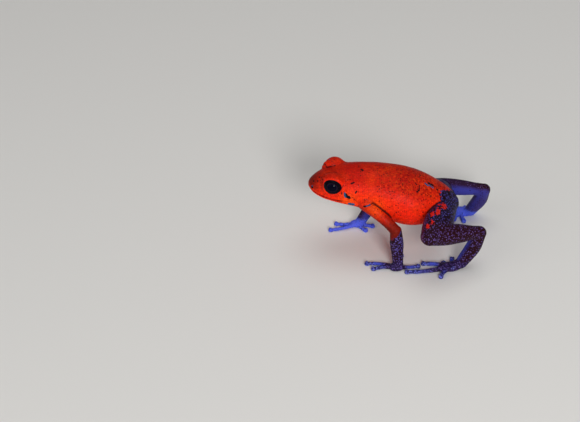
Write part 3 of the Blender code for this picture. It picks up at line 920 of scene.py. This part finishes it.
def paint_side(skin, normals, paint, side, sign):
    """Paints the limbs of one side, and tells which points lie on its arm."""
    points = skin.points
    across, back, _ = body_terms(points)
    off_trunk = off_body(points)
    forward = -normals[:, 1]
    upward = normals[:, 2]
    own = across * sign > 0
    terms = {name: limb.around(points) for name, limb in limbs_of(side).items()}
    share = {name: term[0] for name, term in terms.items()}
    off = {name: term[1] for name, term in terms.items()}
    leg_off = np.min([off[name] for name in ("thigh", "shank", "tarsus", "instep")], axis=0)

    # Hands and feet are the low points nearest a palm or a sole
    from_sole, from_palm = (
        np.hypot(points[:, 0] - JOINTS[side][root][0], points[:, 1] - JOINTS[side][root][1])
        for root in ("sole", "palm")
    )
    foot = (points[:, 2] < FOOT_TOP) & (from_sole < 1.45 * from_palm)
    hand = (points[:, 2] < HAND_TOP) & ~foot & (from_palm < from_sole)
    low = smoothstep(1.9, 1.2, points[:, 2]) * (foot | hand | (leg_off < 0.3) | (off["forearm"] < 0.3))
    for name, values in leg_paint(points, normals, side, sign, off, share["thigh"], low).items():
        paint[name][own] = values[own]

    # Dark skin covers the legs and creeps over the rump, and starts below the elbow on the arms
    legs = np.clip((off_trunk - leg_off) / 0.6, -1, 1)
    on_rump = own & (off_trunk < 0.2) & (points[:, 2] > 3.0)
    paint["plain"] *= 1.0 - on_rump
    legs = np.maximum(legs, hip_net(across, back))
    legs = np.where(foot | hand, 1.0, legs)
    arm = (off["forearm"] < 0.5) & (off["forearm"] < leg_off) & ~hand
    sleeve = (share["forearm"] - 0.1 - 0.12 * forward) / 0.12
    legs = np.where(arm, np.clip(sleeve, -1, 1), legs)
    paint["legs"][own] = legs[own]

    # A pinkish rim runs down the front of the thigh and round the knee
    knee = Vector(JOINTS[side]["knee"]) + Vector((0.0, -0.9, -0.6))
    rim = smoothstep(0.5, 0.95, forward) * (off["thigh"] < off["shank"]) * (leg_off < 0.4)
    rim = np.maximum(0.8 * rim, 0.8 * (1 - smoothstep(0.5, 1.4, skin.near(knee))))
    paint["pink"][own] = rim[own]

    # The arm darkens towards its elbow and is painted with shade underneath, and the throat and the armpit
    # glow orange
    on_arm = own & (np.minimum(off["upper_arm"], off["forearm"]) < np.minimum(off_trunk, leg_off) + 0.1)
    along_arm = np.where(off["forearm"] < off["upper_arm"], 1.0 + share["forearm"], share["upper_arm"])
    darkening = 0.15 + 0.7 * smoothstep(0.35, 0.95, along_arm)
    # Painted shade on the underside of the arm
    darkening += 0.4 * smoothstep(0.5, -0.5, upward)
    paint["deep"][on_arm] = np.minimum(darkening, 0.9)[on_arm]
    for place, reach in ((body_place(sign * 3.7, 5.9, 0.3), 1.2), (body_place(sign * 4.3, 9.9, 0.2), 1.3)):
        grow(paint, "orange", ridge(skin.near(place), reach))
    return on_arm


def paint_regions(skin, hollow):
    """Shares that tell the finish where each colour of the skin belongs, painted shade among them. For the
    legs: how far inside them a point lies, how large their flecks are, how maroon the ground is, how blue
    the flecks are, how far they melt into plain violet-blue, and where they are paler, partly with a painted
    highlight."""
    points = skin.points
    normals = skin.normals()
    across, back, height = body_terms(points)
    paint = {name: np.zeros(len(points)) for name in PAINTED}
    paint["legs"] -= 1.0
    arms = np.zeros(len(points), bool)
    for side, sign in SIDES:
        arms |= paint_side(skin, normals, paint, side, sign)
    # The snout is painted darker: partly its own browner red, partly painted shade where the light falls off
    snout = smoothstep(2.6, 0.2, back) * smoothstep(-0.6, 0.6, height)
    grow(paint, "deep", 0.85 * snout)
    # Painted shade along each fold of skin
    for depth, half_width, path in folds_in_place():
        shade = min(0.5, 4 * depth) * ridge(from_path(skin, path), 1.6 * half_width)
        grow(paint, "deep", shade)
    # Painted shade along the mouth line
    mouth = ridge(height - lip_height(back), 0.12) * along_mouth(back)
    grow(paint, "deep", 0.6 * mouth)

    # The back is darker and more speckled than the flanks, and the crown between the eyes is darker still
    # Their darker red is partly their own and partly painted shade on the skin that faces up
    crown = ridge(back - 2.9, 1.6) * smoothstep(1.6, 0.7, np.abs(across)) * (height > 0)
    paint["dorsal"] = smoothstep(0.35, 1.1, normals[:, 2] + 0.06 * height) * smoothstep(-1, 3, height)
    paint["dorsal"] = np.maximum(0.68 * paint["dorsal"], crown)
    paint["rump"] = np.where(arms, 0.9, smoothstep(4.5, 15.0, back))
    # Where the skin turns inwards, for the painted shade in its creases
    paint["hollow"] = hollow
    paint["dark_marks"] = blots(skin, on_both_sides(DARK_MARKS))
    paint["blue_marks"] = blots(skin, on_both_sides(BLUE_MARKS))
    paint["red_spots"] = blots(skin, [(r, [Vector(place) for place in path]) for r, path in THIGH_SPOTS])
    return paint


def finished(name, mesh):
    """A smooth piece, scaled from millimetres to its place in the frame and inside the CAD model's box."""
    points = read(mesh.vertices, "co", 3) * MM + np.array(FRAME_SHIFT)
    points = np.clip(points, np.array(cad_box[0]), np.array(cad_box[1]))
    mesh.vertices.foreach_set("co", points.ravel())
    mesh.polygons.foreach_set("use_smooth", [True] * len(mesh.polygons))
    mesh.update()
    return show(bpy.data.objects.new(name, mesh))


def make_skin():
    """The whole skin, from rough forms to lids, lips and granules."""
    bm = remeshed(raw_form(), VOXEL)
    keep_largest(bm)
    refine_head(bm)
    skin = Surface(mesh_of(bm, "skin"))
    skin.relax(4)
    skin.fill_creases(45, crease_softness(skin))
    skin.relax(3)
    sculpt_lids(skin)
    skin.relax(1)
    sculpt_face(skin)
    fold_at_arms(skin)
    hollow = hollows(skin)
    sculpt_granules(skin)
    for name, values in paint_regions(skin, hollow).items():
        store(skin.mesh, name, values)
    skin.write_points()
    return finished("skin", skin.mesh)


def make_eye(name, sign):
    """A round eyeball with a slightly bulging cornea."""
    centre, out, along, up = eye_axes(sign)
    bm = bmesh.new()
    bmesh.ops.create_uvsphere(bm, u_segments=96, v_segments=64, radius=BALL_RADIUS)
    turn = Matrix((along, up, out)).transposed().to_4x4()
    for vertex in bm.verts:
        outward = vertex.co.z / BALL_RADIUS
        vertex.co *= 1.0 + 0.025 * float(smoothstep(0.45, 1.0, outward)) - 0.02
    flat = [(v.co.x, v.co.y) for v in bm.verts]
    bm.transform(Matrix.Translation(centre) @ turn)
    if sign < 0:
        bmesh.ops.reverse_faces(bm, faces=bm.faces)
    mesh = mesh_of(bm, name)
    for label, values in zip(("rearward", "upward"), zip(*flat)):
        store(mesh, label, values)
    return finished(name, mesh)


def colour(code):
    """An sRGB hex colour as the linear colour that the shader takes."""
    channels = [int(code[i : i + 2], 16) / 255 for i in (1, 3, 5)]
    linear = [c / 12.92 if c <= 0.04045 else ((c + 0.055) / 1.055) ** 2.4 for c in channels]
    return (*linear, 1.0)


def per_metre(size_mm):
    """The scale of a pattern whose repeat has this real size in millimetres."""
    return 1.0 / (size_mm * MM)


def add(tree, inputs, kind, result=0, places=range(5), **settings):
    """Adds one shader node of a kind and gives back the output named by result. Its inputs come by name,
    or in the order of places, and each takes a number, a hex colour or a link. Settings name its
    properties."""
    node = tree.nodes.new(kind)
    for name, value in settings.items():
        setattr(node, name, value)
    for name, value in inputs.items() if isinstance(inputs, dict) else zip(places, inputs):
        if isinstance(value, bpy.types.NodeSocket):
            tree.links.new(value, node.inputs[name])
        else:
            node.inputs[name].default_value = colour(value) if isinstance(value, str) else value
    return node.outputs[result]


def new_material(name, **values):
    """A material with its Principled shader set to these constant values."""
    material = bpy.data.materials.new(name)
    material.use_nodes = True
    shader = material.node_tree.nodes["Principled BSDF"]
    for socket, value in values.items():
        shader.inputs[socket.replace("_", " ")].default_value = value
    return material, material.node_tree, shader


# Nodes used again and again, with their inputs in order. BLEND: share, first and second colour.
# RISE: value, its two limits, and the results at each. SUM: first times second, plus third.
BLEND = {"kind": "ShaderNodeMix", "data_type": "RGBA", "result": 2, "places": (0, 6, 7)}
RISE = {"kind": "ShaderNodeMapRange", "interpolation_type": "SMOOTHSTEP"}
SUM = {"kind": "ShaderNodeMath", "operation": "MULTIPLY_ADD"}
PRODUCT = {"kind": "ShaderNodeMath", "operation": "MULTIPLY"}
DIFFERENCE = {"kind": "ShaderNodeMath", "operation": "SUBTRACT"}
SMALLER = {"kind": "ShaderNodeMath", "operation": "MINIMUM"}


def moist_granular_skin():
    """Frog skin: grown as a finely granular hide and kept wet by its own mucus, so it has a broad soft
    shine. The body is scarlet with dark pores, and the legs are dark with lavender-blue flecks."""
    material, tree, shader = new_material(
        "moist_granular_skin",
        IOR=1.37,
        Specular_IOR_Level=0.12,
        Subsurface_Weight=0.05,
        Subsurface_Scale=0.0003,
    )
    shader.inputs["Subsurface Radius"].default_value = (1.0, 0.3, 0.15)
    place = add(tree, (), "ShaderNodeTexCoord", "Object")
    kind = "ShaderNodeAttribute"
    share = {name: add(tree, (), kind, "Fac", attribute_name=name) for name in PAINTED}

    # Granules about 0.3 mm apart, of uneven outline; each has two chance values of its own
    wander = add(tree, {"Vector": place, "Scale": per_metre(GRANULE)}, "ShaderNodeTexNoise", "Color")
    warped = (wander, (WANDER * MM,) * 3, place)
    warped = add(tree, warped, "ShaderNodeVectorMath", operation="MULTIPLY_ADD")
    cells = {"Vector": warped, "Scale": per_metre(GRANULE), "Randomness": 0.8}
    from_top = add(tree, cells, "ShaderNodeTexVoronoi", "Distance")
    chance = add(tree, (from_top.node.outputs["Color"],), "ShaderNodeSeparateColor", "Red")
    second_chance = chance.node.outputs["Green"]
    ragged = add(tree, {"Vector": place, "Scale": per_metre(0.35), "Detail": 3.0}, "ShaderNodeTexNoise")
    uneven = add(tree, (ragged, 0.5), **DIFFERENCE)

    # Legs: a dark ground with a fleck on each granule and on a second set of places between them
    shifted = add(tree, (warped, (FLECK_SHIFT * MM,) * 3), "ShaderNodeVectorMath", operation="ADD")
    from_other = add(tree, {**cells, "Vector": shifted}, "ShaderNodeTexVoronoi", "Distance")
    reach = add(tree, (chance, 0.08, share["cover"]), **SUM)
    reach = add(tree, (uneven, 0.2, reach), **SUM)
    reach = add(tree, (share["pale_and_highlight"], 0.12, reach), **SUM)
    from_fleck = add(tree, (from_top, from_other), **SMALLER)
    inside = add(tree, (reach, from_fleck), **DIFFERENCE)
    fleck = add(tree, (inside, -0.04, 0.24), **RISE)
    ground = add(tree, (share["maroon"], "#0B0710", "#260810"), **BLEND)
    faint = add(tree, (share["bluer"], "#4A3060", "#2E3078"), **BLEND)
    strong = add(tree, (share["bluer"], "#705698", "#4650AE"), **BLEND)
    tint = add(tree, (second_chance, faint, strong), **BLEND)
    # Paler blue on the pads, partly a painted highlight
    tint = add(tree, (share["pale_and_highlight"], tint, "#7F8AF0"), **BLEND)

    # Plain violet-blue on the inner sides, with dark dots where it meets the flecks
    violet = add(tree, (share["bluer"], "#3C3076", "#3A46B4"), **BLEND)
    # Paler blue on the pads and on the bump, partly a painted highlight
    violet = add(tree, (share["pale_and_highlight"], violet, "#5566E8"), **BLEND)
    few = add(tree, (share["plain"], 0.9, 0.0), **SUM)
    few = add(tree, (second_chance, few), **DIFFERENCE)
    dot = add(tree, (few, -0.1, 0.0), **RISE)
    dot_size = add(tree, (from_top, 0.45, 0.2, 0.0, 0.85), **RISE)
    dot = add(tree, (dot, dot_size), **PRODUCT)
    violet = add(tree, (dot, violet, "#1A0C1C"), **BLEND)
    rim = add(tree, (fleck, "#461630", "#7A4268"), **BLEND)
    leg = ground
    for layer, stain in ((fleck, tint), (share["plain"], violet), (share["pink"], rim)):
        leg = add(tree, (layer, leg, stain), **BLEND)

    # Body: orange-red flanks and crimson back, with pores that crowd towards the rump
    cloud = add(tree, {"Vector": place, "Scale": per_metre(2.6), "Detail": 3.0}, "ShaderNodeTexNoise")
    cloud = add(tree, (cloud, 0.35, 0.7, 0.0, 0.35), **RISE)
    speckled = add(tree, (share["dorsal"], share["rump"]), **PRODUCT)
    speckled = add(tree, (speckled, 1.2, 0.12), **SUM)
    blotch = add(tree, (ragged, 0.47, 0.62, 0.0, 0.6), **RISE)
    blotch = add(tree, (blotch, speckled), **PRODUCT)
    # Painted shade in the furrows between the granules
    furrow = add(tree, (from_top, 0.36, 0.66, 0.0, 0.28), **RISE)
    glow = add(tree, (chance, 0.55, 1.0, 0.0, 0.25), **RISE)
    glow = add(tree, (glow, speckled), **PRODUCT)
    pore_share = add(tree, (share["rump"], 0.15, 0.05), **SUM)
    pore_share = add(tree, (speckled, 0.5, pore_share), **SUM)
    pore = add(tree, (pore_share, second_chance), **DIFFERENCE)
    pore = add(tree, (pore, -0.05, 0.05), **RISE)
    pore_size = add(tree, (from_top, 0.48, 0.22, 0.0, 0.8), **RISE)
    pore = add(tree, (pore, pore_size), **PRODUCT)
    # The crimson of the back is partly its own and partly painted shade on the skin that faces up
    red = add(tree, (share["dorsal"], "#F3240A", "#A00A06"), **BLEND)
    for layer, stain in (
        (cloud, "#FF4008"),
        (share["orange"], "#FF4E08"),
        # Darker red: the arm towards its elbow, and painted shade in the folds, along the mouth line, under
        # the arms and on the snout
        (share["deep"], "#4A0E08"),
        (blotch, "#8E0A04"),
        (furrow, "#5A0A04"),
        (glow, "#FF5A10"),
        (pore, "#2A0605"),
    ):
        red = add(tree, (layer, red, stain), **BLEND)

    # Marks, and the uneven edges of all the colours
    edge = add(tree, (chance, 0.5), **DIFFERENCE)
    edge = add(tree, (edge, 0.2, uneven), **SUM)
    for name, roughen, low, high, stain in (
        ("dark_marks", 0.8, 0.42, 0.56, "#100A10"),
        ("blue_marks", 0.6, 0.40, 0.49, "#1E4C74"),
    ):
        mark = add(tree, (edge, roughen, share[name]), **SUM)
        mark = add(tree, (mark, low, high), **RISE)
        red = add(tree, (mark, red, stain), **BLEND)
    spot = add(tree, (edge, 2.2, share["red_spots"]), **SUM)
    spot = add(tree, (second_chance, 0.6, spot), **SUM)
    spot = add(tree, (from_top, -0.6, spot), **SUM)
    spot = add(tree, (spot, 0.48, 0.62, 0.0, 0.9), **RISE)
    near_spot = add(tree, (share["red_spots"], 0.1, 0.35), **RISE)
    spot = add(tree, (spot, near_spot), **PRODUCT)
    leg = add(tree, (spot, leg, "#D8200A"), **BLEND)
    on_legs = add(tree, (edge, 1.3, share["legs"]), **SUM)
    on_legs = add(tree, (on_legs, -0.08, 0.1), **RISE)
    skin_colour = add(tree, (on_legs, red, leg), **BLEND)
    # Painted shade: the skin is darkened where it turns sharply inwards, in its folds and creases
    fold = add(tree, (share["hollow"], 0.9), **PRODUCT)
    skin_colour = add(tree, (fold, skin_colour, "#240306"), **BLEND)
    tree.links.new(skin_colour, shader.inputs["Base Color"])

    # The granules stand out under a thin film of mucus
    relief = {"Height": from_top, "Strength": 0.6, "Distance": 0.05 * MM}
    tree.links.new(add(tree, relief, "ShaderNodeBump", invert=True), shader.inputs["Normal"])
    film = add(tree, {"Vector": place, "Scale": per_metre(1.5), "Detail": 2.0}, "ShaderNodeTexNoise")
    film = add(tree, (film, 0.3, 0.7, 0.55, 0.4), **RISE)
    tree.links.new(film, shader.inputs["Roughness"])
    return material


def wet_dark_eye():
    """Frog's eye: a near-black iris with a faint ring round the pupil, under a smooth wet cornea that
    gives one small sharp highlight."""
    material, tree, shader = new_material("wet_dark_eye", Roughness=0.07, IOR=1.34, Specular_IOR_Level=0.06)
    rearward, upward = (
        add(tree, (), "ShaderNodeAttribute", "Fac", attribute_name=name) for name in ("rearward", "upward")
    )
    flat = add(tree, (rearward, upward), "ShaderNodeCombineXYZ")
    inverse_radii = (1 / PUPIL_RADII[0], 1 / PUPIL_RADII[1], 0.0)
    flat = add(tree, (flat, inverse_radii), "ShaderNodeVectorMath", operation="MULTIPLY")
    from_pupil = add(tree, (flat,), "ShaderNodeVectorMath", "Value", operation="LENGTH")
    rings = add(tree, {"Fac": from_pupil}, "ShaderNodeValToRGB")
    ramp = rings.node.color_ramp
    ramp.elements[0].position = 0.84
    ramp.elements[0].color = colour("#060616")
    ramp.elements[1].position = 0.95
    ramp.elements[1].color = colour("#2A1A2C")
    ramp.elements.new(1.0).color = colour("#0C0912")
    tree.links.new(rings, shader.inputs["Base Color"])
    return material


def matt_paper():
    """Studio paper: pressed and matt, so it takes soft shadows and shows no shine."""
    material, _, shader = new_material("matt_paper", Roughness=0.9)
    shader.inputs["Base Color"].default_value = colour("#E4E2DE")
    return material


def make_floor():
    """A wide round sheet of paper under the feet."""
    bm = bmesh.new()
    bmesh.ops.create_circle(bm, cap_ends=True, segments=96, radius=1.5)
    mesh = mesh_of(bm, "floor")
    mesh.materials.append(matt_paper())
    return show(bpy.data.objects.new("floor", mesh))


def add_light(name, place, aim, size, power, tint="#FFFFFF"):
    """A square soft box that faces the frog."""
    lamp = bpy.data.lights.new(name, "AREA")
    lamp.shape = "SQUARE"
    lamp.size = size
    lamp.energy = power
    lamp.color = colour(tint)[:3]
    light = show(bpy.data.objects.new(name, lamp))
    light.location = place
    light.rotation_euler = (Vector(place) - Vector(aim)).to_track_quat("Z", "Y").to_euler()


def light_studio():
    """A low key soft box from beside the camera, a wide fill from its left and a pale dim room."""
    middle = (0.0, 0.0, 0.006)
    add_light("key", (0.42, 0.10, 0.22), middle, 0.13, 1.6)
    add_light("fill", (0.25, -0.35, 0.25), middle, 0.35, 0.35)
    add_light("top", (-0.05, 0.05, 0.5), middle, 0.4, 0.7)
    world = bpy.data.worlds.new("pale_room")
    world.use_nodes = True
    background = world.node_tree.nodes["Background"]
    background.inputs["Color"].default_value = colour("#F2F3F5")
    background.inputs["Strength"].default_value = 0.2
    bpy.context.scene.world = world


def place_camera():
    """The photograph's view: level with the frog's side, looking down at it from 34 degrees."""
    pixels_long = FRAME_WIDTH * LENS / SENSOR
    back = Vector((math.cos(CAMERA_RISE), 0.0, math.sin(CAMERA_RISE)))
    aim = Vector((0.0, 0.0, AIM_HEIGHT * MM)) + FRAME_SHIFT
    turn = (-back).to_track_quat("-Z", "Y").to_matrix()
    pan = math.atan((AIM_PIXEL[0] - FRAME_WIDTH / 2) / pixels_long)
    nod = math.atan((AIM_PIXEL[1] - FRAME_HEIGHT / 2) / pixels_long)
    turn = turn @ Matrix.Rotation(pan, 3, "Y") @ Matrix.Rotation(nod, 3, "X")
    lens = bpy.data.cameras.new("camera")
    lens.lens = LENS
    lens.sensor_width = SENSOR
    lens.clip_start = 0.01
    camera = show(bpy.data.objects.new("camera", lens))
    camera.matrix_world = Matrix.Translation(aim + back * CAMERA_DISTANCE) @ turn.to_4x4()
    bpy.context.scene.camera = camera


low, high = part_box("eye_left")
FRAME_SHIFT = (low + high) / 2 - body_place(*EYE_CENTRE) * MM

place_camera()
light_studio()
bpy.context.scene.view_settings.view_transform = "Standard"

floor = make_floor()

skin = make_skin()
skin.data.materials.append(moist_granular_skin())
flesh = [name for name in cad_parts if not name.startswith("eye_")]
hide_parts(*flesh)
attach(skin, "root")

eye_finish = wet_dark_eye()
for side, sign in SIDES:
    eye = make_eye(f"{side}_eye", sign)
    eye.data.materials.append(eye_finish)
    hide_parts(f"eye_{side}")
    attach(eye, "root")
